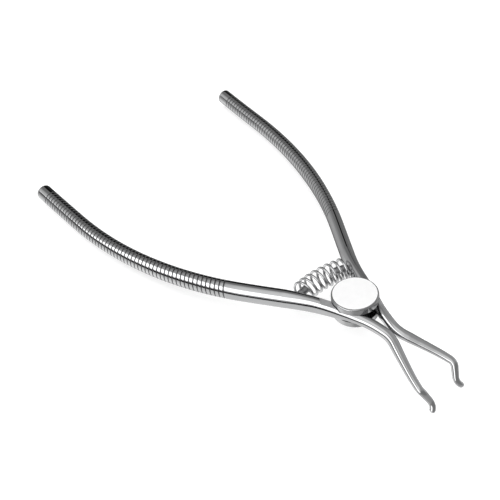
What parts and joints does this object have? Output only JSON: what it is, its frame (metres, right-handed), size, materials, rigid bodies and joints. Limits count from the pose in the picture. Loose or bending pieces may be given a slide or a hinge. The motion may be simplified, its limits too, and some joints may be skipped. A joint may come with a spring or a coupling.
{
  "type": "orthodontic separating pliers",
  "caption": "Spring-return separating pliers: ribbed bowed handles, round disc joint, slim crooked jaws with hooked tips that part when the handles are squeezed.",
  "frame": {"origin": "centre of the upper joint disc's flat face, on the pivot axis", "axes": "+X towards the hooked tips in the plane between the two arms, +Z along the pivot axis out of the upper disc, +Y towards the far arm"},
  "size_m": [0.1368, 0.0818, 0.0252],
  "materials": {
    "polished_bar": "mirror-polished stainless steel bar with cut ribs",
    "polished_disc": "mirror-polished stainless steel disc with a satin face",
    "pin_steel": "turned stainless steel",
    "spring_wire": "bright drawn spring wire"
  },
  "bodies": {
    "near_side": {"near_arm": "polished_bar", "bottom_joint_disc": "polished_disc", "near_spring_peg": "pin_steel", "return_spring": "spring_wire"},
    "far_side": {"far_arm": "polished_bar", "top_joint_disc": "polished_disc", "pivot_rivet": "pin_steel", "pivot_bush": "pin_steel", "far_spring_peg": "pin_steel"}
  },
  "joints": [
    {"name": "handle_squeeze", "type": "hinge", "parent": "near_side", "child": "far_side", "pos_m": [0, 0, -0.00341], "axis": [0, 0, 1], "range_deg": [0, 24], "stiffness_Nm_per_rad": 0.18, "springref_deg": -20.05, "deforming": ["return_spring"]}
  ]
}
